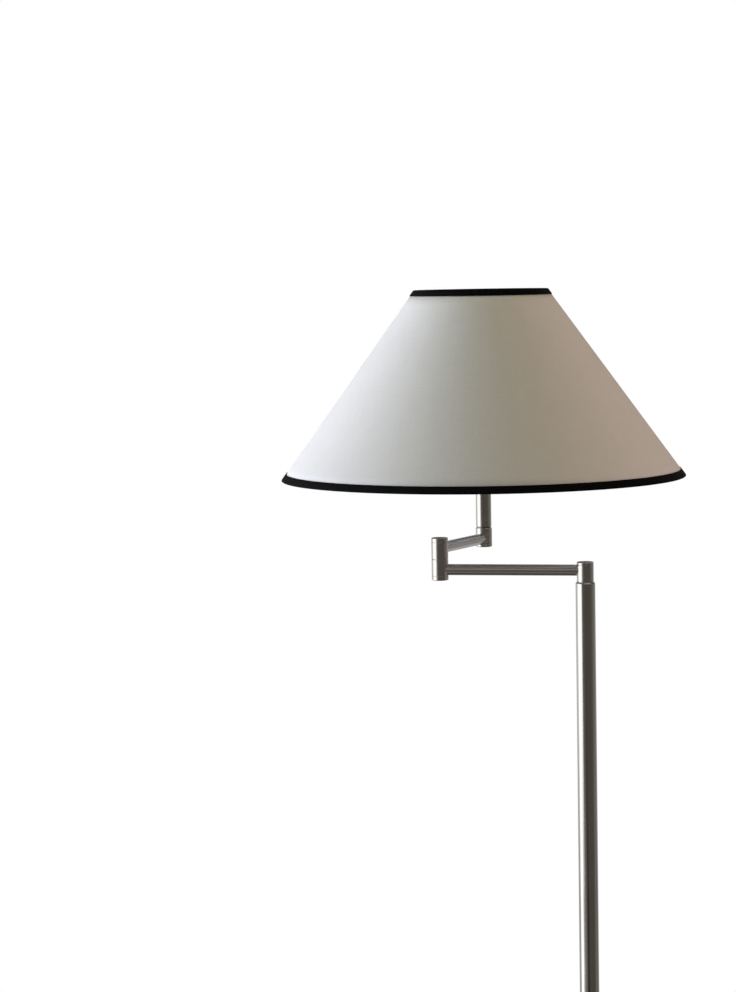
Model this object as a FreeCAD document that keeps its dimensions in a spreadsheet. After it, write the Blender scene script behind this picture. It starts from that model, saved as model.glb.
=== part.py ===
"""Swing-arm floor lamp: a post on a round base, two tubular arms hinged in turned
knuckles, and a stem that carries a lampholder and a wide cone shade.

The frame: millimetres, +Z up, the origin on the floor under the middle of the post.
+X is to the right of someone who faces the lamp and +Y is away from them. The arms
stand in the swung pose that gives the lamp its usual look; headings are measured
from +X towards +Y.
"""
import FreeCAD, Part
import math
import os
import re
import Sketcher

# ---------------------------------------------------------------- driving sizes

SIZES = {
    # stand
    "base_diameter": 260,
    "base_edge_height": 20,
    "base_crown_height": 26,
    "base_crown_diameter": 44,
    "base_edge_round": 4,
    "cover_wall": 1.2,
    "cover_lift": 1.5,
    "pad_thickness": 2,
    "pad_inset": 8,
    "weight_inset": 3,
    "weight_recess_diameter": 44,
    "weight_recess_depth": 9,
    "groove_width": 10,
    "groove_depth": 12,
    "cord_hole_diameter": 12,
    "cord_hole_height": 9,
    "cord_bore": 7.5,
    "bush_flange_diameter": 15,
    "bush_flange_thickness": 1.5,
    "bush_neck": 2.6,
    "stud_diameter": 10,
    "stud_bore": 6,
    "stud_rise": 18,
    "foot_washer_diameter": 30,
    "foot_washer_thickness": 2,
    "foot_nut_flats": 17,
    "foot_nut_height": 5.5,
    "collar_diameter": 34,
    "collar_height": 13,
    "collar_foot": 3,
    "collar_lip": 1.6,
    "collar_sweep": 1.6,
    # post
    "post_diameter": 21,
    "post_wall": 1.5,
    "plug_length": 16,
    "foot_plug_length": 20,
    "plug_flange": 2,
    "plug_bevel": 1.4,
    # arms
    "lower_axis_height": 1150,
    "arm_spacing": 23.3,
    "lower_arm_length": 157,
    "lower_arm_heading": 172.2,
    "upper_arm_length": 108,
    "upper_arm_heading": 64.4,
    "arm_diameter": 12,
    "arm_wall": 1,
    # knuckles
    "knuckle_wall": 2.5,
    "knuckle_floor": 2.5,
    "knuckle_edge": 0.3,
    "end_knuckle_depth": 12,
    "end_knuckle_reach": 9,
    "end_cap_height": 3,
    "elbow_reach": 11.3,
    "elbow_cap_height": 4.8,
    "cap_spigot": 1.6,
    "cap_bevel": 0.6,
    "wire_hole": 8,
    # pivots
    "spindle_diameter": 8,
    "spindle_bore": 5,
    "spindle_flat": 0.6,
    "spindle_end": 0.6,
    "thrust_washer_inset": 0.7,
    "thrust_washer_thickness": 0.4,
    "stop_washer_ring": 0.7,
    "stop_washer_thickness": 0.8,
    "stop_tab_width": 2,
    "stop_pin_diameter": 1.2,
    "stop_pin_rise": 0.7,
    "spring_thickness": 0.3,
    "spring_rise": 0.6,
    "lock_nut_gap": 0.5,
    "lock_nut_height": 3.2,
    "lock_nut_edge": 0.5,
    "lock_nut_slot": 1.6,
    "lock_nut_slot_depth": 1,
    # stem and lampholder
    "stem_diameter": 17,
    "stem_wall": 1.25,
    "stem_length": 102,
    "head_plug_length": 12,
    "head_plug_flange": 1.5,
    "nipple_diameter": 10,
    "nipple_bore": 7,
    "nipple_reach": 4,
    "cup_room": 4,
    "cup_neck_diameter": 24,
    "cup_shoulder_height": 12,
    "cup_wall": 1.5,
    "cup_floor": 2,
    "bell_sweep": 0.9,
    "holder_wall": 2,
    "holder_height": 30,
    "holder_flange_rim": 5.5,
    "holder_flange_height": 6,
    "holder_flange_thickness": 2,
    "liner_height": 26,
    "liner_floor": 6,
    "liner_wall": 2.9,
    "thread_gap": 0.85,
    "shell_wall": 0.6,
    "shell_height": 17,
    "contact_width": 5,
    "contact_thickness": 0.5,
    "contact_length": 16,
    "contact_table": 8,
    "contact_rise": 4,
    "shade_nut_height": 7,
    "shade_nut_grip": 1.6,
    "shade_nut_grips": 12,
    "switch_width": 18,
    "switch_depth": 16,
    "switch_height": 14,
    "switch_axis_drop": 7,
    "switch_bore_depth": 6,
    "switch_spindle_diameter": 6,
    "knob_diameter": 15,
    "knob_length": 13,
    "knob_gap": 2,
    "knob_bore_depth": 8,
    "knob_edge": 1.2,
    "knob_flute": 1.6,
    "knob_flutes": 10,
    # bulb
    "bulb_cap_diameter": 26,
    "bulb_cap_height": 25,
    "bulb_tip_diameter": 10,
    "bulb_glass_diameter": 12,
    "bulb_glass_height": 2,
    "bulb_shoulder": 6,
    "bulb_diameter": 60,
    "bulb_height": 78,
    "bulb_neck_rim": 0.6,
    "bulb_wall": 1,
    "bulb_waist_angle": 30,
    # shade
    "shade_bottom_diameter": 450,
    "shade_top_diameter": 149,
    "shade_height": 208.7,
    "shade_rim_rise": 68.1,
    "shade_wall": 0.8,
    "trim_thickness": 0.7,
    "bottom_trim_width": 8,
    "bottom_trim_fold": 7,
    "top_trim_width": 6.3,
    "ring_wire": 3,
    "fitter_rim": 1.5,
    "fitter_thickness": 1.5,
    "spoke_clearance": 3.5,
    "spoke_foot": 11.5,
    "spoke_bend": 8,
    "spokes": 3,
    # clearances, each on the radius or on one side
    "running_gap": 0.05,
    "fit_gap": 0.05,
    "glue_gap": 0.15,
    "shaft_gap": 0.3,
    # how far a cutting outline runs past the face that it opens
    "overcut": 1,
}

doc = FreeCAD.newDocument("bridge_floor_lamp")
sheet = doc.addObject("Spreadsheet::Sheet", "sizes")
for row, (alias, size) in enumerate(SIZES.items(), start=1):
    sheet.set(f"A{row}", alias)
    sheet.set(f"B{row}", str(size))
    sheet.setAlias(f"B{row}", alias)
doc.recompute()

# ------------------------------------------------- places worked out from sizes

# heights of the stand
cover_inside = "(base_crown_height - cover_wall)"
weight_top = f"({cover_inside} - fit_gap)"
weight_radius = "(base_diameter / 2 - cover_wall - weight_inset)"
recess_ceiling = "(pad_thickness + weight_recess_depth)"
edge_slope = "((base_crown_height - base_edge_height)" \
             " / (base_diameter / 2 - base_edge_round - base_crown_diameter / 2))"

# radii from a pivot's spindle outwards: washer, stop pin, the knuckle's bore and its outside
stop_disc_radius = "(spindle_diameter / 2 + stop_washer_ring)"
stop_pin_radius = f"({stop_disc_radius} + shaft_gap + stop_pin_diameter / 2)"
stop_tab_reach = f"({stop_pin_radius} + stop_pin_diameter / 2)"
knuckle_bore_radius = f"({stop_tab_reach} + shaft_gap)"
knuckle_radius = f"({knuckle_bore_radius} + knuckle_wall)"
nut_radius = f"({knuckle_bore_radius} - lock_nut_gap)"

# radii from the bulb's cap outwards: screw shell, liner, holder, flange and the shade's fitter
shell_radius = "(bulb_cap_diameter / 2 + thread_gap + shell_wall)"
liner_radius = f"({shell_radius} + fit_gap + liner_wall)"
holder_bore_radius = f"({liner_radius} + fit_gap)"
holder_radius = f"({holder_bore_radius} + holder_wall)"
flange_radius = f"({holder_radius} + holder_flange_rim)"
spoke_start = f"({flange_radius} + spoke_clearance)"
cup_height = "(cup_floor + nipple_reach + cup_room + switch_height)"

# pivot stack: face to face, then what stands above the knuckle's floor
face_gap = "(thrust_washer_thickness + 2 * running_gap)"
stack = "(stop_washer_thickness + spring_thickness + spring_rise + lock_nut_height)"
spindle_above_face = f"(knuckle_floor + running_gap + {stack} + spindle_end)"
elbow_face = f"((arm_spacing - {face_gap}) / 2)"

# heights and places along the lamp
post_face = "(lower_axis_height - end_knuckle_depth)"
post_top = f"({post_face} - {face_gap} - plug_flange)"
upper_axis = "(lower_axis_height + arm_spacing)"
elbow_x = "(lower_arm_length * cos(lower_arm_heading))"
elbow_y = "(lower_arm_length * sin(lower_arm_heading))"
elbow_middle = "(lower_axis_height + arm_spacing / 2)"
head_x = f"({elbow_x} + upper_arm_length * cos(upper_arm_heading))"
head_y = f"({elbow_y} + upper_arm_length * sin(upper_arm_heading))"
stem_face = f"({upper_axis} + end_knuckle_depth)"
stem_foot = f"({stem_face} + {face_gap} + plug_flange)"
stem_top = f"({stem_foot} + stem_length)"
holder_base = f"({stem_top} + head_plug_flange)"
body_base = f"({holder_base} + {cup_height})"
switch_axis = f"({body_base} - switch_axis_drop)"
fitter_seat = f"({body_base} + holder_flange_height + holder_flange_thickness)"
liner_seat = f"({body_base} + liner_floor)"
bulb_tip = f"({liner_seat} + contact_rise + contact_thickness + fit_gap)"
globe_foot = f"({bulb_tip} + bulb_cap_height)"

# the cone of the shade: slope is the radius lost per millimetre of height
rim = f"({upper_axis} + shade_rim_rise)"
shade_top = f"({rim} + shade_height)"
slope = "((shade_bottom_diameter - shade_top_diameter) / 2 / shade_height)"
secant = f"sqrt(1 + {slope} * {slope})"

# depths below the outside of the trims: film, wire and the tape's inner fold
cover_face = "(trim_thickness + glue_gap)"
cover_back = f"({cover_face} + shade_wall)"
wire_line = f"({cover_back} + glue_gap + ring_wire / 2)"
fold_face = f"({cover_back} + ring_wire + 2 * glue_gap)"

HEAD = (head_x, head_y)
ELBOW = (elbow_x, elbow_y)
POST = ("0", "0")


def cone(inward, height):
    """Radius of the surface that lies inward of the shade's outside, at a height over the rim."""
    return f"(shade_bottom_diameter / 2 - ({inward}) * {secant} - ({height}) * {slope})"


# ---------------------------------------------------------------------- helpers

ALIAS = re.compile(r"\b[a-z][a-z_]*\b(?!\()")


def linked(text):
    """An expression in which each size's alias names its cell of the sheet."""
    return ALIAS.sub(lambda word: "sizes." + word.group(), text)


def number(text):
    return float(sheet.evalExpression(linked(text)))


def bind(item, target, text):
    item.setExpression(target, linked(text))


def plane(body, role):
    return next(item for item in body.Origin.OriginFeatures if item.Role == role)


def new_body(label):
    body = doc.addObject("PartDesign::Body", label)
    body.Label = label
    return body


def new_sketch(body, name, role, lift="0"):
    """A sketch on one of the body's own origin planes, lifted along the plane's normal."""
    sketch = body.newObject("Sketcher::SketchObject", f"{body.Name}_{name}")
    sketch.AttachmentSupport = (plane(body, role), [""])
    sketch.MapMode = "FlatFace"
    bind(sketch, "AttachmentOffset.Base.z", lift)
    return sketch


def pin_point(sketch, edge, vertex, across, along):
    """Ties a vertex of the sketch to its two sizes."""
    for kind, text in (("DistanceX", across), ("DistanceY", along)):
        rule = Sketcher.Constraint(kind, -1, 1, edge, vertex, number(text))
        bind(sketch, f"Constraints[{sketch.addConstraint(rule)}]", text)


def draw_arc(sketch, start, end, radius_text, turn, long_way):
    """An arc from start to end; turn is 1 for counterclockwise and -1 for clockwise."""
    radius = number(radius_text)
    chord = end - start
    left = FreeCAD.Vector(-chord.y, chord.x, 0) / chord.Length
    rise = math.sqrt(max(radius ** 2 - chord.Length ** 2 / 4, 0))
    centre = (start + end) / 2 + left * (rise * turn * (-1 if long_way else 1))
    first, last = (start, end) if turn > 0 else (end, start)
    angles = [math.atan2(spot.y - centre.y, spot.x - centre.x) for spot in (first, last)]
    if angles[1] < angles[0]:
        angles[1] += 2 * math.pi
    circle = Part.Circle(centre, FreeCAD.Vector(0, 0, 1), radius)
    edge = sketch.addGeometry(Part.ArcOfCircle(circle, *angles), False)
    rule = sketch.addConstraint(Sketcher.Constraint("Radius", edge, radius))
    bind(sketch, f"Constraints[{rule}]", radius_text)
    return edge, (1, 2) if turn > 0 else (2, 1)


def draw_outline(sketch, points, closed=True):
    """Draws lines through the points. A point with more than two entries is reached by an
    arc: (across, along, radius, turn) or (across, along, radius, turn, "long")."""
    spots = [FreeCAD.Vector(number(p[0]), number(p[1]), 0) for p in points]
    order = list(range(1, len(points))) + ([0] if closed else [])
    edges = []
    for target in order:
        start, end, bend = spots[target - 1], spots[target], points[target][2:]
        if bend:
            edges.append(draw_arc(sketch, start, end, bend[0], bend[1], len(bend) > 2))
        else:
            edges.append((sketch.addGeometry(Part.LineSegment(start, end), False), (1, 2)))
    for here, (edge, (tail, head)) in enumerate(edges):
        pin_point(sketch, edge, tail, *points[order[here] - 1][:2])
        if closed or here + 1 < len(edges):
            follower, (next_tail, _) = edges[(here + 1) % len(edges)]
            sketch.addConstraint(Sketcher.Constraint("Coincident", edge, head, follower, next_tail))
    if not closed:
        pin_point(sketch, edges[-1][0], edges[-1][1][1], *points[-1][:2])
    return sketch


def draw_circle(sketch, diameter, across="0", along="0"):
    centre = FreeCAD.Vector(number(across), number(along), 0)
    circle = Part.Circle(centre, FreeCAD.Vector(0, 0, 1), number(diameter) / 2)
    edge = sketch.addGeometry(circle, False)
    rule = sketch.addConstraint(Sketcher.Constraint("Diameter", edge, number(diameter)))
    bind(sketch, f"Constraints[{rule}]", diameter)
    pin_point(sketch, edge, 3, across, along)
    return sketch


def box_outline(left, right, low, high):
    return [(left, low), (right, low), (right, high), (left, high)]


def revolve(body, sketch):
    turned_form = body.newObject("PartDesign::Revolution", f"{sketch.Name}_turned")
    turned_form.Profile = sketch
    turned_form.ReferenceAxis = (sketch, ["V_Axis"])
    turned_form.Angle = 360
    return turned_form


def turn(label, outline):
    """A lathe-turned piece: its half section, as (radius, height), goes once round Z."""
    body = new_body(label)
    revolve(body, draw_outline(new_sketch(body, "section", "XZ_Plane"), outline))
    return body


def pad(body, sketch, length):
    raised = body.newObject("PartDesign::Pad", f"{sketch.Name}_pad")
    raised.Profile = sketch
    bind(raised, "Length", length)
    return raised


def cut(body, sketch, length=None, forward=False):
    """Cuts a pocket of a length behind the sketch, before it (forward), or right through."""
    before = body.Shape.Volume if body.Tip and not body.Shape.isNull() else None
    pocket = body.newObject("PartDesign::Pocket", f"{sketch.Name}_pocket")
    pocket.Profile = sketch
    if length is None:
        pocket.Type = "ThroughAll"
        pocket.Midplane = True
    else:
        pocket.Reversed = forward
        bind(pocket, "Length", length)
    doc.recompute()
    if before and body.Shape.Volume >= before:
        raise ValueError(f"{pocket.Name} cuts nothing")
    return pocket


def repeat(body, feature, axis_sketch, count):
    """Repeats a feature round the vertical axis of a sketch."""
    pattern = body.newObject("PartDesign::PolarPattern", f"{feature.Name}_pattern")
    pattern.Originals = [feature]
    pattern.Axis = (axis_sketch, ["V_Axis"])
    pattern.Angle = 360
    bind(pattern, "Occurrences", count)
    body.Tip = pattern
    return pattern


def place(body, spot, height, heading="0", tip=0):
    """Tips the piece about its own X axis, turns it to its heading and lifts it to its place."""
    text = f"placement(vector({spot[0]}; {spot[1]}; {height});" \
           f" rotation(vector(0; 0; 1); {heading}) * rotation(vector(1; 0; 0); {tip}))"
    bind(body, "Placement", text)
    return body


# ------------------------------------------------------------------------ stand

def make_base_pad():
    """Soft disc that covers the whole underside and the nut's well."""
    turn("base_pad", box_outline("0", "base_diameter / 2 - pad_inset", "0", "pad_thickness"))


def make_base_weight():
    """Cast disc with a sloped top, a well for the nut and a channel for the cord."""
    drop = f"{weight_top} - ({weight_radius} - base_crown_diameter / 2) * {edge_slope}"
    stud_hole = "stud_diameter / 2 + shaft_gap"
    body = turn("base_weight", [
        (stud_hole, recess_ceiling),
        ("weight_recess_diameter / 2", recess_ceiling),
        ("weight_recess_diameter / 2", "pad_thickness"),
        (weight_radius, "pad_thickness"),
        (weight_radius, drop),
        ("base_crown_diameter / 2", weight_top),
        (stud_hole, weight_top),
    ])
    channel = new_sketch(body, "channel", "XY_Plane", "pad_thickness")
    draw_outline(channel, box_outline("-groove_width / 2", "groove_width / 2",
                                      "0", f"{weight_radius} + overcut"))
    cut(body, channel, "groove_depth", forward=True)


def make_base_cover():
    """Spun shell with a rounded edge, a low cone for its top and a hole in the rear."""
    outer, inner = "base_diameter / 2", "base_diameter / 2 - cover_wall"
    shoulder = "base_diameter / 2 - base_edge_round"
    stud_hole = "stud_diameter / 2 + shaft_gap"
    body = turn("base_cover", [
        (stud_hole, cover_inside),
        ("base_crown_diameter / 2", cover_inside),
        (shoulder, "base_edge_height - cover_wall"),
        (inner, "base_edge_height - base_edge_round", "base_edge_round - cover_wall", -1),
        (inner, "cover_lift"),
        (outer, "cover_lift"),
        (outer, "base_edge_height - base_edge_round"),
        (shoulder, "base_edge_height", "base_edge_round", 1),
        ("base_crown_diameter / 2", "base_crown_height"),
        (stud_hole, "base_crown_height"),
    ])
    hole = new_sketch(body, "cord_hole", "XZ_Plane")
    draw_circle(hole, "cord_hole_diameter", "0", "cord_hole_height")
    cut(body, hole, "base_diameter")


def make_cord_bush():
    """Grommet in the cover's rear wall; its own axis is turned to run front to back."""
    flange, neck = "bush_flange_diameter / 2", "cord_hole_diameter / 2 - fit_gap"
    body = turn("cord_bush", [
        ("cord_bore / 2", "-bush_neck"),
        (neck, "-bush_neck"),
        (neck, "0"),
        (flange, "0"),
        (f"{flange} - bush_flange_thickness / 2", "bush_flange_thickness"),
        ("cord_bore / 2", "bush_flange_thickness"),
    ])
    place(body, ("0", "base_diameter / 2"), "cord_hole_height", tip=-90)


def make_foot_fixings():
    """What clamps the post to the base: collar, hollow stud, washer and nut."""
    tube = "post_diameter / 2 + fit_gap"
    hollow = "(collar_diameter - post_diameter) / 2 - collar_lip"
    collar = turn("foot_collar", [
        (tube, "0"),
        ("collar_diameter / 2", "0"),
        ("collar_diameter / 2", "collar_foot"),
        ("post_diameter / 2 + collar_lip", "collar_height", f"({hollow}) * collar_sweep", -1),
        (tube, "collar_height"),
    ])
    place(collar, POST, "base_crown_height")
    foot_nut_base = f"{recess_ceiling} - foot_washer_thickness - foot_nut_height"
    turn("foot_stud", box_outline("stud_bore / 2", "stud_diameter / 2",
                                  f"{foot_nut_base} - running_gap",
                                  "base_crown_height + stud_rise"))
    washer = turn("foot_washer", box_outline("stud_diameter / 2 + shaft_gap",
                                             "foot_washer_diameter / 2",
                                             "-foot_washer_thickness", "0"))
    place(washer, POST, recess_ceiling)
    nut = new_body("foot_nut")
    corner = "foot_nut_flats / 2 / cos(30)"
    hexagon = [(f"{corner} * cos({turn_by})", f"{corner} * sin({turn_by})")
               for turn_by in range(0, 360, 60)]
    pad(nut, draw_outline(new_sketch(nut, "hexagon", "XY_Plane"), hexagon), "foot_nut_height")
    bore = draw_circle(new_sketch(nut, "bore", "XY_Plane"), "stud_diameter + 2 * fit_gap")
    cut(nut, bore)
    place(nut, POST, foot_nut_base)


def make_post():
    """The post's tube and the tapped plug in its foot."""
    turn("post_tube", box_outline("post_diameter / 2 - post_wall", "post_diameter / 2",
                                  "base_crown_height", post_top))
    plug = turn("post_foot_plug", box_outline("stud_diameter / 2 + fit_gap",
                                              "post_diameter / 2 - post_wall - fit_gap",
                                              "0", "foot_plug_length"))
    place(plug, POST, "base_crown_height")


# ----------------------------------------------------------------------- pivots

def cut_flat(body, low, high):
    """The flat along a spindle that keeps its stop washer from turning; it faces +X."""
    flat = new_sketch(body, "flat", "XY_Plane", low)
    face = "spindle_diameter / 2 - spindle_flat"
    draw_outline(flat, box_outline(face, "spindle_diameter / 2 + overcut",
                                   "-spindle_diameter / 2", "spindle_diameter / 2"))
    cut(body, flat, f"{high} - ({low})", forward=True)


def make_pivot_plug(label, diameter, wall, spot, height, heading, tip):
    """A plug in the end of a tube, with a bevelled flange and a hollow spindle on it.
    Its own zero is the tube's end, and the spindle points up."""
    body = turn(label, [
        ("spindle_bore / 2", "-plug_length"),
        (f"{diameter} / 2 - {wall} - fit_gap", "-plug_length"),
        (f"{diameter} / 2 - {wall} - fit_gap", "0"),
        (f"{diameter} / 2", "0"),
        (f"{diameter} / 2", "plug_flange - plug_bevel"),
        (f"{diameter} / 2 - plug_bevel", "plug_flange"),
        ("spindle_diameter / 2", "plug_flange"),
        ("spindle_diameter / 2", f"plug_flange + {face_gap} + {spindle_above_face}"),
        ("spindle_bore / 2", f"plug_flange + {face_gap} + {spindle_above_face}"),
    ])
    floor_top = f"plug_flange + {face_gap} + knuckle_floor"
    cut_flat(body, floor_top, f"plug_flange + {face_gap} + {spindle_above_face}")
    place(body, spot, height, heading, tip)


def make_thrust_washer(label, spot, middle):
    """Plastic washer between the two faces of a pivot."""
    body = turn(label, box_outline("spindle_diameter / 2 + running_gap",
                                   f"{knuckle_radius} - thrust_washer_inset",
                                   "-thrust_washer_thickness / 2", "thrust_washer_thickness / 2"))
    place(body, spot, middle)


def make_pivot_stack(prefix, spot, floor_top, heading, up):
    """What stands on a knuckle's floor: stop washer, disc spring and slotted nut. Each has its
    own zero on its underside and +Z away from the floor."""
    way, tip = ("+", 0) if up else ("-", 180)
    bore = "spindle_diameter / 2 + fit_gap"
    stop = new_body(f"{prefix}_stop_washer")
    disc = draw_circle(new_sketch(stop, "disc", "XY_Plane"), f"2 * {stop_disc_radius}")
    pad(stop, disc, "stop_washer_thickness")
    tab = new_sketch(stop, "tab", "XY_Plane")
    draw_outline(tab, box_outline(f"{stop_disc_radius} - stop_washer_ring / 2", stop_tab_reach,
                                  "-stop_tab_width / 2", "stop_tab_width / 2"))
    pad(stop, tab, "stop_washer_thickness")
    face = "(spindle_diameter / 2 - spindle_flat + fit_gap)"
    half_chord = f"sqrt(({bore}) ^ 2 - {face} ^ 2)"
    key_hole = new_sketch(stop, "key_hole", "XY_Plane")
    draw_outline(key_hole, [(face, f"-{half_chord}"),
                            (face, half_chord, bore, -1, "long")])
    cut(stop, key_hole)
    place(stop, spot, f"{floor_top} {way} running_gap", heading, tip)
    stop_top = f"{floor_top} {way} (running_gap + stop_washer_thickness)"

    spring = turn(f"{prefix}_disc_spring", [
        (bore, "0"),
        (nut_radius, "spring_rise"),
        (nut_radius, "spring_rise + spring_thickness"),
        (bore, "spring_thickness"),
    ])
    place(spring, spot, stop_top, heading, tip)
    spring_top = f"{stop_top} {way} (spring_rise + spring_thickness)"
    make_ring_nut(f"{prefix}_lock_nut", spot, spring_top, heading, tip)


def make_ring_nut(label, spot, height, heading, tip):
    """Round nut with a slot across its top; it stands on its own zero."""
    edge = "lock_nut_edge"
    nut = turn(label, [
        ("spindle_diameter / 2 + fit_gap", "0"),
        (f"{nut_radius} - {edge}", "0"),
        (nut_radius, edge),
        (nut_radius, f"lock_nut_height - {edge}"),
        (f"{nut_radius} - {edge}", "lock_nut_height"),
        ("spindle_diameter / 2 + fit_gap", "lock_nut_height"),
    ])
    slot = new_sketch(nut, "slot", "XY_Plane", "lock_nut_height")
    draw_outline(slot, box_outline(f"-{nut_radius} - overcut", f"{nut_radius} + overcut",
                                   "-lock_nut_slot / 2", "lock_nut_slot / 2"))
    cut(nut, slot, "lock_nut_slot_depth")
    place(nut, spot, height, heading, tip)


# --------------------------------------------------------------------- knuckles

def make_knuckle(label, face, reach, cap_height, spot, height, heading, tip, pin=None):
    """A turned housing. Its own zero is where the arm's axis meets it: the arm leaves along +X,
    the pivot face lies below and the open end, which the cap closes, lies above. The hole in
    its side lets the wire through into the arm."""
    outer, inner = knuckle_radius, knuckle_bore_radius
    bore, edge = "spindle_diameter / 2 + running_gap", "knuckle_edge"
    open_end = f"{reach} - {cap_height}"
    body = turn(label, [
        (bore, f"-{face}"),
        (f"{outer} - {edge}", f"-{face}"),
        (outer, f"-{face} + {edge}"),
        (outer, f"{open_end} - {edge}"),
        (f"{outer} - {edge}", open_end),
        (inner, open_end),
        (inner, f"-{face} + knuckle_floor"),
        (bore, f"-{face} + knuckle_floor"),
    ])
    wire_hole = draw_circle(new_sketch(body, "wire_hole", "YZ_Plane"), "wire_hole")
    cut(body, wire_hole, outer, forward=True)
    place(body, spot, height, heading, tip)
    make_cap(f"{label}_cap", open_end, cap_height, spot, height, heading, tip)
    if pin:
        pin_hole = new_sketch(body, "pin_hole", "XY_Plane", f"-{face}")
        draw_circle(pin_hole, "stop_pin_diameter + 2 * fit_gap", stop_pin_radius)
        cut(body, pin_hole, "knuckle_floor", forward=True)
        stop_pin = new_body(pin)
        section = new_sketch(stop_pin, "section", "XY_Plane", f"-{face} + knuckle_edge")
        draw_circle(section, "stop_pin_diameter", stop_pin_radius)
        pad(stop_pin, section, "knuckle_floor - knuckle_edge + stop_pin_rise")
        place(stop_pin, spot, height, heading, tip)


def make_cap(label, seat, cap_height, spot, height, heading, tip):
    """Screwed cap: a bevelled disc as wide as the knuckle, with a spigot inside it."""
    outer, spigot = knuckle_radius, f"{knuckle_bore_radius} - fit_gap"
    body = turn(label, [
        ("0", f"{seat} - cap_spigot"),
        (spigot, f"{seat} - cap_spigot"),
        (spigot, seat),
        (f"{outer} - knuckle_edge", seat),
        (outer, f"{seat} + knuckle_edge"),
        (outer, f"{seat} + {cap_height} - cap_bevel"),
        (f"{outer} - cap_bevel", f"{seat} + {cap_height}"),
        ("0", f"{seat} + {cap_height}"),
    ])
    place(body, spot, height, heading, tip)


def make_arm_tube(label, length, spot, height, heading):
    """A tube along +X whose two ends are coped to saddle the round knuckles."""
    body = new_body(label)
    ring = draw_circle(new_sketch(body, "ring", "YZ_Plane"), "arm_diameter")
    draw_circle(ring, "arm_diameter - 2 * arm_wall")
    pad(body, ring, length)
    for end, across in (("near", "0"), ("far", length)):
        cope = new_sketch(body, f"{end}_cope", "XY_Plane")
        cut(body, draw_circle(cope, f"2 * ({knuckle_radius} + fit_gap)", across))
    place(body, spot, height, heading)


def make_post_pivot():
    """Plug, washers and nut on the post; the stop's tab points away from the lower arm."""
    heading = "lower_arm_heading + 180"
    make_pivot_plug("post_head_plug", "post_diameter", "post_wall", POST, post_top, heading, 0)
    make_thrust_washer("post_thrust_washer", POST, f"{post_face} - {face_gap} / 2")
    make_pivot_stack("post", POST, f"{post_face} + knuckle_floor", heading, up=True)


def make_lower_arm():
    """Post knuckle, tube, and the elbow's lower half, which is turned upside down."""
    make_knuckle("post_knuckle", "end_knuckle_depth", "end_knuckle_reach", "end_cap_height",
                 POST, "lower_axis_height", "lower_arm_heading", 0, pin="post_stop_pin")
    make_arm_tube("lower_arm_tube", "lower_arm_length", POST, "lower_axis_height",
                  "lower_arm_heading")
    make_knuckle("elbow_lower", elbow_face, "elbow_reach", "elbow_cap_height",
                 ELBOW, "lower_axis_height", "lower_arm_heading + 180", 180)


def make_elbow_pivot():
    """The elbow's hollow spindle, held by a nut in the lower half; the upper half turns on it."""
    heading = "lower_arm_heading + 180"
    above = f"({face_gap} / 2 + {spindle_above_face})"
    below = f"({face_gap} / 2 + knuckle_floor + lock_nut_height + spindle_end)"
    spindle = turn("elbow_spindle", box_outline("spindle_bore / 2", "spindle_diameter / 2",
                                                f"-{below}", above))
    cut_flat(spindle, f"{face_gap} / 2 + knuckle_floor", above)
    place(spindle, ELBOW, elbow_middle, heading)
    make_ring_nut("elbow_spindle_nut", ELBOW,
                  f"{elbow_middle} - {face_gap} / 2 - knuckle_floor", heading, 180)
    make_thrust_washer("elbow_thrust_washer", ELBOW, elbow_middle)
    make_pivot_stack("elbow", ELBOW, f"{elbow_middle} + {face_gap} / 2 + knuckle_floor",
                     heading, up=True)


def make_upper_arm():
    """The elbow's upper half, tube, and the stem knuckle, which hangs upside down."""
    make_knuckle("elbow_upper", elbow_face, "elbow_reach", "elbow_cap_height",
                 ELBOW, upper_axis, "upper_arm_heading", 0, pin="elbow_stop_pin")
    make_arm_tube("upper_arm_tube", "upper_arm_length", ELBOW, upper_axis, "upper_arm_heading")
    make_knuckle("stem_knuckle", "end_knuckle_depth", "end_knuckle_reach", "end_cap_height",
                 HEAD, upper_axis, "upper_arm_heading + 180", 180, pin="stem_stop_pin")


def make_stem():
    """Plug with its spindle hanging into the stem knuckle, the stack on it, and the tube."""
    heading = "upper_arm_heading"
    make_pivot_plug("stem_foot_plug", "stem_diameter", "stem_wall", HEAD, stem_foot, heading, 180)
    make_thrust_washer("stem_thrust_washer", HEAD, f"{stem_face} + {face_gap} / 2")
    make_pivot_stack("stem", HEAD, f"({stem_face} - knuckle_floor)", heading, up=False)
    tube = turn("stem_tube", box_outline("stem_diameter / 2 - stem_wall", "stem_diameter / 2",
                                         "0", "stem_length"))
    place(tube, HEAD, stem_foot)


# ------------------------------------------------------------------ lampholder

def make_stem_head():
    """Tapped plug in the top of the stem and the threaded nipple that joins the lampholder."""
    bore, spigot = "nipple_diameter / 2 + fit_gap", "stem_diameter / 2 - stem_wall - fit_gap"
    plug = turn("stem_head_plug", [
        (bore, "-head_plug_length"),
        (spigot, "-head_plug_length"),
        (spigot, "0"),
        ("stem_diameter / 2", "0"),
        ("stem_diameter / 2", "head_plug_flange"),
        (bore, "head_plug_flange"),
    ])
    place(plug, HEAD, stem_top)
    nipple = turn("holder_nipple", box_outline(
        "nipple_bore / 2", "nipple_diameter / 2", "-head_plug_length",
        "head_plug_flange + cup_floor + nipple_reach"))
    place(nipple, HEAD, stem_top)


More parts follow.
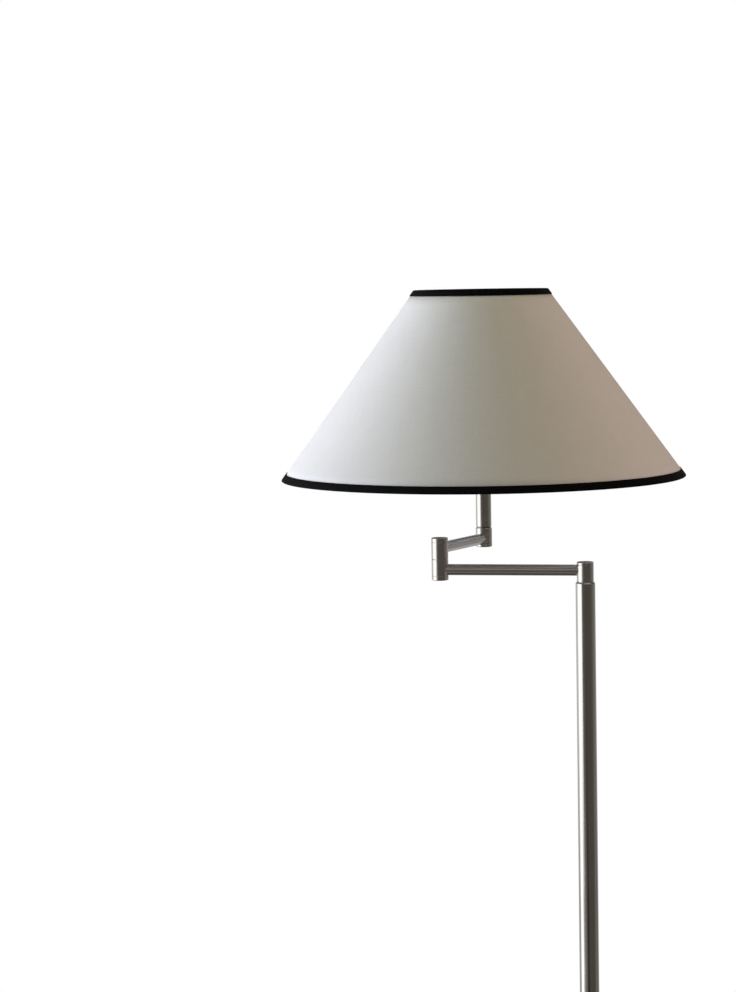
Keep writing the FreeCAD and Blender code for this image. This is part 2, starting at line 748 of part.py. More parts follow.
def make_holder_cup():
    """Bell-shaped lower half of the lampholder, with the hole for the switch's spindle."""
    bore, outer = "nipple_diameter / 2 + fit_gap", holder_radius
    neck = "cup_neck_diameter / 2"
    bell = f"((2 * {holder_radius} - cup_neck_diameter) * bell_sweep)"
    body = turn("holder_cup", [
        (bore, "0"),
        (neck, "0"),
        (outer, "cup_shoulder_height", bell, -1),
        (outer, cup_height),
        (f"{outer} - cup_wall", cup_height),
        (f"{outer} - cup_wall", "cup_shoulder_height + cup_wall / 2"),
        (f"{neck} - cup_wall / 2", "cup_floor", f"{bell} + cup_wall", 1),
        (bore, "cup_floor"),
    ])
    hole = new_sketch(body, "spindle_hole", "XZ_Plane")
    draw_circle(hole, "switch_spindle_diameter + 2 * shaft_gap", "0",
                f"{cup_height} - switch_axis_drop")
    cut(body, hole, outer, forward=True)
    place(body, HEAD, holder_base)


def make_holder_body():
    """Threaded upper half with the flange that carries the shade, its liner, the screw shell
    and the sprung centre contact."""
    outer, inner = holder_radius, holder_bore_radius
    flange_top = "holder_flange_height + holder_flange_thickness"
    sleeve = turn("holder_body", [
        (inner, "0"),
        (outer, "0"),
        (outer, "holder_flange_height"),
        (flange_radius, "holder_flange_height"),
        (flange_radius, flange_top),
        (outer, flange_top),
        (outer, "holder_height"),
        (inner, "holder_height"),
    ])
    place(sleeve, HEAD, body_base)
    pocket = f"{shell_radius} + fit_gap"
    liner = turn("holder_liner", [
        ("0", "0"),
        (liner_radius, "0"),
        (liner_radius, "liner_height"),
        (pocket, "liner_height"),
        (pocket, "liner_floor"),
        ("0", "liner_floor"),
    ])
    place(liner, HEAD, body_base)
    shell = turn("screw_shell", box_outline(f"{shell_radius} - shell_wall", shell_radius,
                                            "liner_height - shell_height", "liner_height"))
    place(shell, HEAD, body_base)
    contact = new_body("centre_contact")
    strip, rise = "contact_thickness", "contact_rise"
    half, bend = "contact_length / 2", "contact_table / 2"
    section = new_sketch(contact, "section", "XZ_Plane", "-contact_width / 2")
    draw_outline(section, [
        (f"-({half})", "0"), (half, "0"), (half, strip), (f"-({half}) + {strip}", strip),
        (f"-({bend})", rise), (bend, rise), (bend, f"{rise} + {strip}"),
        (f"-({bend}) - {strip}", f"{rise} + {strip}"), (f"-({half})", strip),
    ])
    pad(contact, section, "contact_width")
    place(contact, HEAD, liner_seat)


def make_switch():
    """Switch block under the liner, and the spindle and fluted knob that turn in it."""
    block = new_body("switch_block")
    plan = new_sketch(block, "plan", "XY_Plane", "-switch_height")
    draw_outline(plan, box_outline("-switch_width / 2", "switch_width / 2",
                                   "-switch_depth / 2", "switch_depth / 2"))
    pad(block, plan, "switch_height")
    bore = new_sketch(block, "bore", "XZ_Plane", "switch_depth / 2")
    draw_circle(bore, "switch_spindle_diameter + 2 * running_gap", "0", "-switch_axis_drop")
    cut(block, bore, "switch_bore_depth")
    place(block, HEAD, body_base)

    inner_end = "switch_depth / 2 - switch_bore_depth + shaft_gap"
    knob_back = f"{holder_radius} + knob_gap"
    spindle = turn("switch_spindle", box_outline(
        "0", "switch_spindle_diameter / 2", inner_end, f"{knob_back} + knob_bore_depth"))
    place(spindle, HEAD, switch_axis, tip=90)
    hole, grip = "switch_spindle_diameter / 2 + fit_gap", "knob_diameter / 2"
    knob = turn("switch_knob", [
        (hole, knob_back),
        (f"{grip} - knob_edge / 2", knob_back),
        (grip, f"{knob_back} + knob_edge / 2"),
        (grip, f"{knob_back} + knob_length - knob_edge"),
        (f"{grip} - knob_edge", f"{knob_back} + knob_length"),
        ("0", f"{knob_back} + knob_length"),
        ("0", f"{knob_back} + knob_bore_depth"),
        (hole, f"{knob_back} + knob_bore_depth"),
    ])
    flute = new_sketch(knob, "flute", "XY_Plane")
    draw_circle(flute, "knob_flute", grip)
    groove = cut(knob, flute, f"{knob_back} + knob_length + overcut", forward=True)
    section = knob.Group[0]
    repeat(knob, groove, section, "knob_flutes")
    place(knob, HEAD, switch_axis, tip=90)


def make_shade_nut():
    """Ring nut that clamps the shade's fitter on the flange, with notches for the fingers."""
    body = turn("shade_nut", box_outline(f"{holder_radius} + fit_gap", flange_radius,
                                         "0", "shade_nut_height"))
    notch = new_sketch(body, "notch", "XY_Plane")
    draw_circle(notch, "2 * shade_nut_grip", flange_radius)
    groove = cut(body, notch)
    repeat(body, groove, body.Group[0], "shade_nut_grips")
    place(body, HEAD, f"{fitter_seat} + fitter_thickness")


def make_bulb():
    """Screw-base lamp: metal cap and a frosted glass envelope with a thin wall."""
    shoulder, cap = "bulb_shoulder", "bulb_cap_diameter / 2"
    bulb_cap = turn("bulb_cap", [
        ("0", "0"),
        ("bulb_tip_diameter / 2", "0"),
        ("bulb_glass_diameter / 2", "bulb_glass_height"),
        (cap, shoulder),
        (cap, "bulb_cap_height"),
        ("0", "bulb_cap_height"),
    ])
    place(bulb_cap, HEAD, bulb_tip)

    ball_centre = "(bulb_height - bulb_diameter / 2)"

    def envelope(inset):
        """Crown, waist and neck of one face of the glass, at a depth below its outside."""
        ball = f"(bulb_diameter / 2 - {inset})"
        neck = f"(bulb_cap_diameter / 2 + bulb_neck_rim - {inset})"
        waist_x = f"({ball} * cos(bulb_waist_angle))"
        waist_z = f"({ball_centre} - {ball} * sin(bulb_waist_angle))"
        neck_z = f"({waist_z} - ({waist_x} - {neck}) / tan(bulb_waist_angle))"
        return ball, (waist_x, waist_z), (neck, neck_z), neck

    ball, waist, neck, neck_radius = envelope("0")
    inner_ball, inner_waist, inner_neck, inner_radius = envelope("bulb_wall")
    globe = turn("bulb_globe", [
        (neck_radius, "0"),
        neck,
        waist,
        ("0", "bulb_height", ball, 1),
        ("0", "bulb_height - bulb_wall"),
        (*inner_waist, inner_ball, -1),
        inner_neck,
        (inner_radius, "0"),
    ])
    place(globe, HEAD, globe_foot)


# ------------------------------------------------------------------------ shade

def wire_centre(end_height, upward):
    """Where a ring's wire lies: against the inside of the cover, next to its bound edge."""
    height = f"({end_height} {upward} ({cover_face} + ring_wire / 2))"
    return cone(wire_line, height), f"({rim} + {height})"


def make_shade_carrier():
    """Wire top ring with three dropped spokes welded to the flat fitter ring."""
    body = new_body("shade_carrier")
    fitter = new_sketch(body, "fitter", "XZ_Plane")
    draw_outline(fitter, box_outline(f"{holder_radius} + shaft_gap", f"{spoke_start} + fitter_rim",
                                     fitter_seat, f"{fitter_seat} + fitter_thickness"))
    revolve(body, fitter)
    ring_radius, ring_height = wire_centre("shade_height", "-")
    top_ring = new_sketch(body, "top_ring", "XZ_Plane")
    draw_circle(top_ring, "ring_wire", ring_radius, ring_height)
    start_height = f"({fitter_seat} + fitter_thickness / 2)"
    start, corner = spoke_start, f"({spoke_start} + spoke_foot)"
    lean = f"atan(({ring_height} - {start_height}) / ({ring_radius} - {corner}))"
    tangent = f"(spoke_bend * tan({lean} / 2))"
    spine = new_sketch(body, "spine", "XZ_Plane")
    draw_outline(spine, [
        (start, start_height),
        (f"{corner} - {tangent}", start_height),
        (f"{corner} + {tangent} * cos({lean})", f"{start_height} + {tangent} * sin({lean})",
         "spoke_bend", 1),
        (ring_radius, ring_height),
    ], closed=False)
    section = new_sketch(body, "wire", "YZ_Plane", start)
    draw_circle(section, "ring_wire", "0", start_height)
    spoke = body.newObject("PartDesign::AdditivePipe", "spoke")
    spoke.Profile = section
    spoke.Spine = (spine, ["Edge1", "Edge2", "Edge3"])
    doc.recompute()
    repeat(body, spoke, fitter, "spokes")
    revolve(body, top_ring)
    place(body, HEAD, "0", "upper_arm_heading")


def make_bottom_ring():
    """Wire ring that holds the bottom edge round."""
    body = new_body("bottom_ring")
    radius, height = wire_centre("0", "+")
    section = new_sketch(body, "wire", "XZ_Plane")
    revolve(body, draw_circle(section, "ring_wire", radius, height))
    place(body, HEAD, "0")


def make_shade_cover():
    """Fabric on stiff film, rolled into a cone; its edges stop inside the trims."""
    low, high = cover_face, f"(shade_height - {cover_face})"
    body = turn("shade_cover", [
        (cone(cover_back, low), f"{rim} + {low}"),
        (cone(cover_face, low), f"{rim} + {low}"),
        (cone(cover_face, high), f"{rim} + {high}"),
        (cone(cover_back, high), f"{rim} + {high}"),
    ])
    place(body, HEAD, "0")


def make_trims():
    """Tapes folded over the edges: the bottom one goes round its wire and up inside, and the
    top one stops over its wire, where the spokes are."""
    skin = "trim_thickness"
    bottom = turn("bottom_trim", [
        (cone("0", "0"), rim),
        (cone("0", "bottom_trim_width"), f"{rim} + bottom_trim_width"),
        (cone(skin, "bottom_trim_width"), f"{rim} + bottom_trim_width"),
        (cone(skin, skin), f"{rim} + {skin}"),
        (cone(fold_face, skin), f"{rim} + {skin}"),
        (cone(fold_face, "bottom_trim_fold"), f"{rim} + bottom_trim_fold"),
        (cone(f"{fold_face} + {skin}", "bottom_trim_fold"), f"{rim} + bottom_trim_fold"),
        (cone(f"{fold_face} + {skin}", "0"), rim),
    ])
    place(bottom, HEAD, "0")
    leg, web = "(shade_height - top_trim_width)", f"(shade_height - {skin})"
    top = turn("top_trim", [
        (cone(fold_face, "shade_height"), shade_top),
        (cone(fold_face, web), f"{rim} + {web}"),
        (cone(skin, web), f"{rim} + {web}"),
        (cone(skin, leg), f"{rim} + {leg}"),
        (cone("0", leg), f"{rim} + {leg}"),
        (cone("0", "shade_height"), shade_top),
    ])
    place(top, HEAD, "0")


# ------------------------------------------------------------------- the lamp

for make in (make_base_pad, make_base_weight, make_base_cover, make_cord_bush,
             make_foot_fixings, make_post, make_post_pivot, make_lower_arm,
             make_elbow_pivot, make_upper_arm, make_stem, make_stem_head,
             make_holder_cup, make_holder_body, make_switch, make_shade_nut,
             make_bulb, make_shade_carrier, make_bottom_ring, make_shade_cover,
             make_trims):
    make()
doc.recompute()

for item in doc.Objects:
    if "Invalid" in item.State or "Error" in item.State:
        raise RuntimeError(f"{item.Label} is in state {item.State}")

pieces = [item for item in doc.Objects if item.TypeId == "PartDesign::Body"]
for piece in pieces:
    if piece.Shape.isNull() or not piece.Shape.isValid() or len(piece.Shape.Solids) != 1:
        raise RuntimeError(f"{piece.Label} has no single valid solid")

os.makedirs("parts", exist_ok=True)
for piece in pieces:
    piece.Shape.exportStep(f"parts/{piece.Label}.step")
print(len(pieces), "pieces written")
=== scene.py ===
"""Looks of a swing-arm floor lamp: a satin nickel stand and arms, and a cloth shade bound in black tape."""

import math

import bmesh
import bpy
from mathutils import Matrix, Vector


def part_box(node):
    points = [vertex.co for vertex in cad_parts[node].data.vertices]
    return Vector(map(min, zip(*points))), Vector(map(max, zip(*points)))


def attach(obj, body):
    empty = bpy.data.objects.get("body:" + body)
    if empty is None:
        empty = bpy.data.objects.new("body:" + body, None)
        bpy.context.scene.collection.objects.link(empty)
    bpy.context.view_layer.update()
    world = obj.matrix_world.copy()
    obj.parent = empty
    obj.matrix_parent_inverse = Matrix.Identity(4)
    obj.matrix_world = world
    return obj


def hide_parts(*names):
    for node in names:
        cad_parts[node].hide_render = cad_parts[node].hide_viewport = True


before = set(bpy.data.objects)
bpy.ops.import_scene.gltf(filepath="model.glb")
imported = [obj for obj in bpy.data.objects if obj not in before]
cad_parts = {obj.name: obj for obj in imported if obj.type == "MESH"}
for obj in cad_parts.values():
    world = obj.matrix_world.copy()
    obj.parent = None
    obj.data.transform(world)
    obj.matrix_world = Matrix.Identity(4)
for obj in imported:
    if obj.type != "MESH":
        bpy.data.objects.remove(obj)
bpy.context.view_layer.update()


# ---------------------------------------------------------------- camera
# It stands 2.8 m in front of the post, as high as the top of the shade, with a long lens. It looks a little
# down and to the left, and is rolled by one degree, so the post runs out of the bottom of the picture.
eye = Vector((-0.0755, -2.8375, 1.4746))
look_left, look_down, roll = 0.0547, 0.0850, -0.0174
forward = Vector((
    -math.sin(look_left) * math.cos(look_down),
    math.cos(look_left) * math.cos(look_down),
    -math.sin(look_down),
))
sideways = Vector((math.cos(look_left), math.sin(look_left), 0))
rise = sideways.cross(forward)
right = sideways * math.cos(roll) + rise * math.sin(roll)
up = rise * math.cos(roll) - sideways * math.sin(roll)

camera = bpy.data.objects.new("camera", bpy.data.cameras.new("camera"))
camera.data.sensor_width, camera.data.lens = 36, 96.75
camera.data.clip_start, camera.data.clip_end = 0.1, 60
camera.matrix_world = Matrix.Translation(eye) @ Matrix((right, up, -forward)).transposed().to_4x4()
bpy.context.scene.collection.objects.link(camera)
bpy.context.scene.camera = camera
bpy.context.scene.view_settings.view_transform = "Standard"


# ---------------------------------------------------------------- studio
# A room with a tall window on the left, a pale wall behind the lamp, and darkness behind the camera. Soft
# lamps light the cloth. The metal mirrors the walls, which are the world's colour in each direction, with
# tones that were fitted to the metal in the photograph.
class Socket:
    """A socket of a node tree. Arithmetic on it adds Math nodes, and node() adds any other node."""

    def __init__(self, socket):
        self.socket = socket

    def feed(self, inputs):
        """Sets or links inputs of the node that this socket is on."""
        for name, value in inputs.items():
            target = self.socket.node.inputs[name]
            if isinstance(value, Socket):
                self.socket.id_data.links.new(value.socket, target)
            else:
                target.default_value = value
        return self

    def node(self, kind, settings, inputs, output=0):
        """A new node of this tree: its settings, or a ramp's stops, and then its inputs."""
        made = self.socket.id_data.nodes.new("ShaderNode" + kind)
        for name, value in settings.items():
            if name == "stops":
                for _ in value[2:]:
                    made.color_ramp.elements.new(1.0)
                for element, (position, colour) in zip(made.color_ramp.elements, value):
                    element.position, element.color = position, (*colour, 1.0)
            else:
                setattr(made, name, value)
        return Socket(made.outputs[output]).feed(inputs)

    def math(self, operation, *values):
        return self.node("Math", {"operation": operation}, dict(enumerate(values)))

    def __add__(self, other):
        return self.math("ADD", self, other)

    def __sub__(self, other):
        return self.math("SUBTRACT", self, other)

    def __rsub__(self, other):
        return self.math("SUBTRACT", other, self)

    def __mul__(self, other):
        return self.math("MULTIPLY", self, other)

    __radd__, __rmul__ = __add__, __mul__

    def ramp(self, low, high, start=0.0, end=1.0):
        """start below low, end above high, and a smooth step between them."""
        return self.node("MapRange", {"interpolation_type": "SMOOTHSTEP"},
                         {"Value": self, "From Min": low, "From Max": high, "To Min": start, "To Max": end})

    def mix(self, colour_a, colour_b):
        """colour_a where this socket is 0, and colour_b where it is 1."""
        ends = [c if isinstance(c, Socket) else (*c, 1.0) for c in (colour_a, colour_b)]
        return self.node("Mix", {"data_type": "RGBA"}, {0: self, 6: ends[0], 7: ends[1]}, 2)


def link(thing, name):
    """A new object of the scene."""
    made = bpy.data.objects.new(name, thing)
    bpy.context.scene.collection.objects.link(made)
    return made


white, ambient = (1.0, 1.0, 1.0), (0.135, 0.135, 0.105)
world = bpy.data.worlds.new("studio")
world.use_nodes = True
bpy.context.scene.world = world
air = Socket(world.node_tree.nodes["Background"].outputs[0])
toward = air.node("TexCoord", {}, {}, "Object")
across, behind, above = (air.node("SeparateXYZ", {}, {0: toward}, axis) for axis in "XYZ")
lap = across.math("ARCTAN2", across, 0.0 - behind) * (1 / math.tau) + 0.5


def around(*stops):
    """What the metal mirrors all round: degrees clockwise from behind the camera, a tone and its warmth."""
    colours = [
        (heading / 360 + 0.5, (tone * (1 + warm), tone, tone * (1 - warm))) for heading, tone, warm in stops
    ]
    return air.node("ValToRGB", {"stops": colours}, {0: lap})


# The level ring has the rear wall, the tall window on the left, the dark side where the camera stands and the
# right wall. The low ring is the floor a few metres off, with a dark leg of the camera's stand in front.
level_ring = around(
    (-180, 0.50, -0.05), (-135, 0.66, -0.07), (-112, 0.85, -0.05), (-98, 1.70, 0.0), (-52, 1.70, 0.0),
    (-45, 0.25, 0.02), (-34, 0.105, 0.08), (0, 0.074, 0.12), (50, 0.080, 0.16), (75, 0.115, 0.12),
    (92, 0.170, 0.08), (110, 0.190, 0.06), (130, 0.330, 0.02), (155, 0.420, 0.0), (180, 0.500, 0.0),
)
low_ring = around(
    (-180, 0.45, 0.0), (-142, 0.47, 0.0), (-112, 0.42, 0.0), (-102, 1.70, 0.0), (-72, 1.70, 0.0),
    (-62, 0.45, 0.0), (-50, 0.26, 0.0), (-28, 0.21, 0.0), (-20, 0.09, 0.03), (-12, 0.025, 0.03),
    (-2, 0.025, 0.06), (8, 0.080, 0.10), (62, 0.080, 0.14), (78, 0.100, 0.10), (90, 0.200, 0.04),
    (108, 0.160, 0.04), (128, 0.170, 0.0), (140, 0.500, 0.0), (156, 0.480, 0.0), (180, 0.45, 0.0),
)
upper_wall, rear_gap = (0.25, 0.245, 0.235), (0.10, 0.095, 0.09)
walls = above.ramp(-0.235, -0.165).mix(low_ring, level_ring)
walls = (behind.ramp(0.2, 0.5) * above.ramp(0.0, 0.3)).mix(walls, upper_wall)
walls = (behind.ramp(0.95, 0.98) * above.ramp(0.02, 0.07)).mix(walls, rear_gap)

# The arms lie level, so they mirror what is over and under the dark side: its lit front, the ceiling and the
# floor. Each pair is how steep a direction is, from -1 straight down to 1 straight up, and its tone.
front_tones = (
    (-1.0, 0.03), (-0.92, 0.11), (-0.74, 0.20), (-0.56, 0.15), (-0.46, 0.07), (-0.36, 0.10), (0.06, 0.22),
    (0.2, 0.28), (0.45, 0.22), (0.6, 0.12), (0.72, 0.07), (0.85, 0.08), (0.95, 0.15), (1.0, 0.14),
)
red_share, blue_share = 1.13, 0.96
front_colours = [
    (height / 2 + 0.5, (red_share * tone, tone, blue_share * tone)) for height, tone in front_tones
]
column = air.node("ValToRGB", {"stops": front_colours}, {0: above * 0.5 + 0.5})
ahead = across.math("ABSOLUTE", across).ramp(0.5, 0.75, 1.0, 0.0) * behind.ramp(-0.2, 0.1, 1.0, 0.0)
walls = (ahead * above.ramp(0.0, 0.1)).mix(walls, column)
walls = above.ramp(0.45, 0.8).mix(walls, column)
walls = (ahead * above.ramp(-0.45, -0.33, 1.0, 0.0)).mix(walls, column)
walls = above.ramp(-0.8, -0.6).mix(column, walls)

rays = ("Camera", "Glossy", "Transmission")
seen, mirrored, through = (air.node("LightPath", {}, {}, f"Is {ray} Ray") for ray in rays)
air.feed({"Color": seen.mix((mirrored + through).mix(ambient, walls), white)})


shade_middle, lamp_distance, lamp_height = (-0.109, 0.119), 2.1, 1.3
tall, square = (1.6, 2.4), (2.0, 2.0)


def panel(name, heading, size, watts):
    """A soft upright lamp at a heading clockwise from behind the camera. watts are per colour."""
    lamp = link(bpy.data.lights.new(name, "AREA"), name)
    lamp.data.shape, lamp.data.size, lamp.data.size_y = "RECTANGLE", *size
    lamp.data.energy, lamp.data.color = max(watts), [share / max(watts) for share in watts]
    bearing = math.radians(heading)
    lamp.location = (
        shade_middle[0] + lamp_distance * math.sin(bearing),
        shade_middle[1] - lamp_distance * math.cos(bearing),
        lamp_height,
    )
    lamp.rotation_euler = (math.radians(90), 0, bearing)
    lamp.visible_glossy = False
    return lamp


panel("window", -80, tall, (32.0, 36.0, 44.0))
panel("window return", -100, tall, (25.0, 24.2, 27.4))
panel("warm room", 78, tall, (17.9, 12.8, 12.8))
sky = panel("ceiling light", 0, square, (6.5, 6.1, 3.2))
sky.location, sky.rotation_euler = (-0.1, -0.3, 3.2), (0, 0, 0)

# The floor is matt and pale round the foot, where it takes the lamp's shadow, and white beyond. It has no
# underside, so the foot shows from below, and the lamp is lit by it only dimly.
floor_reach, shadow_reach = 9.0, 1.3
pale, dim_floor = (0.82, 0.81, 0.79, 1.0), (0.16, 0.15, 0.14, 1.0)
patch = bmesh.new()
bmesh.ops.create_circle(patch, cap_ends=True, segments=96, radius=floor_reach)
mesh = bpy.data.meshes.new("floor")
patch.to_mesh(mesh)
patch.free()
floor = link(mesh, "floor")
floor.visible_glossy = False
board = bpy.data.materials.new("pale floor")
board.use_nodes = True
lit = Socket(board.node_tree.nodes["Principled BSDF"].outputs[0])
spot = lit.node("TexCoord", {}, {}, "Object")
reach = lit.node("VectorMath", {"operation": "LENGTH"}, {0: spot}, "Value")
far = reach.ramp(0.3 * shadow_reach, shadow_reach, 0.6)
lit.feed({"Base Color": pale, "Roughness": 0.85, "Specular IOR Level": 0.2})
direct = lit.node("LightPath", {}, {}, "Is Camera Ray")
bright = lit.node("Emission", {}, {"Color": (*white, 1.0), "Strength": 1.0})
dim = lit.node("Emission", {}, {"Color": dim_floor, "Strength": 1.0})
shown = lit.node("MixShader", {}, {0: far, 1: lit, 2: bright})
shown = lit.node("MixShader", {}, {0: direct, 1: dim, 2: shown})
under = lit.node("NewGeometry", {}, {}, "Backfacing")
shown = lit.node("MixShader", {}, {0: under, 1: shown, 2: lit.node("BsdfTransparent", {}, {})})
Socket(board.node_tree.nodes["Material Output"].inputs["Surface"]).feed({"Surface": shown})
floor.data.materials.append(board)


# ---------------------------------------------------------------- satin nickel parts
# Tubes, knuckles, caps and the base cover are nickel plated and brushed round their axis, so each shows fine
# rings, and a reflection spreads along the piece but stays sharp across it.
def finish(name, inputs):
    """A new material, its shader with these inputs, and the Object coordinates of its patterns."""
    material = bpy.data.materials.new(name)
    material.use_nodes = True
    shader = Socket(material.node_tree.nodes["Principled BSDF"].outputs[0])
    shader.feed(inputs)
    return material, shader, shader.node("TexCoord", {}, {}, "Object")


def dress(material, *names):
    """Gives CAD nodes this material."""
    for name in names:
        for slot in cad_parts[name].material_slots:
            slot.material = material


# Grooves a metre along a piece, how much its radius moves them, so that its end faces have them too, and
# streaks a metre along each groove.
groove_rate, radius_share, streak_rate = 8000, 0.73, 60.0


def brushed(name, axis_point, direction=(0, 0, 1), colour=(0.66, 0.635, 0.60), rough=0.13, depth=0.000008):
    """Metal brushed round the line through axis_point along direction, with grooves of a depth."""
    material, shader, place = finish(name, {"Metallic": 1.0})
    centred = shader.node("VectorMath", {"operation": "SUBTRACT"}, {0: place, 1: axis_point}, "Vector")
    along = shader.node("VectorMath", {"operation": "DOT_PRODUCT"}, {0: centred, 1: direction}, "Value")
    outward = shader.node("VectorMath", {"operation": "CROSS_PRODUCT"}, {0: centred, 1: direction}, "Vector")
    radius = shader.node("VectorMath", {"operation": "LENGTH"}, {0: outward}, "Value")
    stroke = shader.node("VectorMath", {"operation": "SCALE"}, {0: place, "Scale": streak_rate}, "Vector")
    grooves = (along + radius * radius_share) * groove_rate
    grain = shader.node("TexNoise", {"noise_dimensions": "4D"},
                        {"Vector": stroke, "W": grooves, "Scale": 1.0, "Detail": 1.0})
    haze = shader.node("TexNoise", {}, {"Vector": place, "Scale": 22.0, "Detail": 3.0})
    worn = haze.ramp(0.35, 0.75)
    tint = worn.mix(tuple(0.97 * c for c in colour), tuple(1.02 * c for c in colour))
    bump = shader.node("Bump", {}, {"Strength": 1.0, "Distance": depth, "Height": grain})
    shader.feed({"Base Color": tint, "Roughness": rough + 0.05 * worn, "Normal": bump})
    return material


def axis_of(node):
    """The upright line through the middle of a CAD node."""
    low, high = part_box(node)
    return ((low.x + high.x) / 2, (low.y + high.y) / 2, 0.0)


post_axis, elbow_axis, head_axis = axis_of("post_tube"), axis_of("elbow_lower"), axis_of("stem_tube")
dress(brushed("nickel round the post", post_axis), "base_cover", "foot_collar", "post_tube", "post_head_plug")
dress(brushed("nickel of the post knuckle", post_axis, rough=0.2), "post_knuckle", "post_knuckle_cap",
      "post_thrust_washer")
dress(brushed("nickel of the elbow", elbow_axis, rough=0.2), "elbow_lower", "elbow_lower_cap", "elbow_upper",
      "elbow_upper_cap", "elbow_thrust_washer")
dress(brushed("nickel round the stem", head_axis, rough=0.2), "stem_knuckle", "stem_knuckle_cap",
      "stem_foot_plug", "stem_tube", "stem_head_plug", "holder_cup", "stem_thrust_washer")
for arm, near, away in (("lower_arm_tube", post_axis, elbow_axis), ("upper_arm_tube", elbow_axis, head_axis)):
    low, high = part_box(arm)
    run = (Vector(away) - Vector(near)).normalized()
    start = (near[0], near[1], (low.z + high.z) / 2)
    label = "nickel round the " + arm.replace("_", " ")
    dress(brushed(label, start, tuple(run), rough=0.2, depth=0.000003), arm)


# ---------------------------------------------------------------- foot
# A disc of felt under a cast iron weight. The cable enters through a rubber grommet, and a zinc plated stud,
# washer and nut hold the post down.
material, shader, place = finish("grey felt", {
    "Roughness": 0.95, "Sheen Weight": 0.3, "Specular IOR Level": 0.1,
})
fibres = shader.node("TexNoise", {}, {"Vector": place, "Scale": 900.0, "Detail": 4.0, "Distortion": 1.5})
shader.feed({
    "Base Color": fibres.ramp(0.3, 0.7).mix((0.018, 0.018, 0.02), (0.055, 0.053, 0.05)),
    "Normal": shader.node("Bump", {}, {"Strength": 0.8, "Distance": 0.0005, "Height": fibres}),
})
dress(material, "base_pad")

material, shader, place = finish("cast iron", {"Specular IOR Level": 0.4})
sand = shader.node("TexNoise", {}, {"Vector": place, "Scale": 420.0, "Detail": 5.0, "Roughness": 0.65})
pits = shader.node("TexVoronoi", {}, {"Vector": place, "Scale": 160.0}, "Distance")
shader.feed({
    "Base Color": sand.ramp(0.35, 0.7).mix((0.022, 0.021, 0.021), (0.06, 0.055, 0.05)),
    "Roughness": 0.55 + 0.25 * sand,
    "Normal": shader.node("Bump", {}, {"Strength": 0.7, "Distance": 0.0006, "Height": sand + 0.4 * pits}),
})
dress(material, "base_weight")

material, shader, place = finish("black rubber", {"Specular IOR Level": 0.35})
bloom = shader.node("TexNoise", {}, {"Vector": place, "Scale": 300.0, "Detail": 3.0})
shader.feed({
    "Base Color": bloom.mix((0.012, 0.012, 0.012), (0.03, 0.03, 0.031)),
    "Roughness": 0.5 + 0.25 * bloom,
    "Normal": shader.node("Bump", {}, {"Strength": 0.3, "Distance": 0.0002, "Height": bloom}),
})
dress(material, "cord_bush")


def plated(name, dark, light, scale, rough, depth=0.00005, **more):
    """A hard finish whose colour and gloss drift between two tones, with a fine grain."""
    material, shader, place = finish(name, {label.replace("_", " "): value for label, value in more.items()})
    drift = shader.node("TexNoise", {}, {"Vector": place, "Scale": scale, "Detail": 4.0})
    grain = shader.node("TexNoise", {}, {"Vector": place, "Scale": 14 * scale, "Detail": 2.0})
    shader.feed({
        "Base Color": drift.ramp(0.3, 0.7).mix(dark, light), "Roughness": rough + 0.15 * (drift - 0.5),
        "Normal": shader.node("Bump", {}, {"Strength": 0.6, "Distance": depth, "Height": grain}),
    })
    return material


dress(plated("zinc plate", (0.50, 0.52, 0.55), (0.68, 0.67, 0.62), 90.0, 0.36, Metallic=1.0),
      "foot_stud", "foot_washer", "foot_nut", "post_foot_plug", "elbow_spindle", "elbow_spindle_nut",
      "holder_nipple", "post_lock_nut", "elbow_lock_nut", "stem_lock_nut")


# ---------------------------------------------------------------- pivots
# Each joint turns on a nickel washer, is held by a nut over a disc spring, and stops at a steel pin.
dress(plated("spring steel", (0.26, 0.25, 0.25), (0.36, 0.34, 0.32), 150.0, 0.3, Metallic=1.0),
      "post_stop_washer", "elbow_stop_washer", "stem_stop_washer", "post_disc_spring", "elbow_disc_spring",
      "stem_disc_spring", "post_stop_pin", "elbow_stop_pin", "stem_stop_pin")


# ---------------------------------------------------------------- lampholder, switch and bulb
# A black phenolic holder with a porcelain core and a brass screw shell. The knob of its rotary switch points
# forward. The bulb is opal glass on an aluminium cap.
phenolic = plated("black phenolic", (0.010, 0.010, 0.010), (0.022, 0.020, 0.019), 110.0, 0.3, 0.00002,
                  Coat_Weight=0.15)
dress(phenolic, "holder_body", "switch_block", "shade_nut", "switch_knob")
porcelain = plated("porcelain", (0.80, 0.78, 0.73), (0.86, 0.85, 0.82), 60.0, 0.25, Coat_Weight=0.5)
dress(porcelain, "holder_liner")
dress(plated("brass", (0.62, 0.44, 0.17), (0.78, 0.60, 0.30), 140.0, 0.3, Metallic=1.0),
      "screw_shell", "centre_contact", "switch_spindle")
dress(brushed("bulb cap", head_axis, colour=(0.80, 0.79, 0.76), rough=0.3), "bulb_cap")
opal = plated("opal glass", (0.87, 0.87, 0.85), (0.90, 0.90, 0.89), 25.0, 0.13, 0.00001, Coat_Weight=0.4)
dress(opal, "bulb_globe")


# ---------------------------------------------------------------- shade carrier and bottom wire
# The fitter ring, three dropped spokes and both rings are steel wire, welded and coated white.
coated = plated("white coated wire", (0.80, 0.79, 0.77), (0.85, 0.85, 0.84), 130.0, 0.4, 0.00006)
dress(coated, "shade_carrier", "bottom_ring")


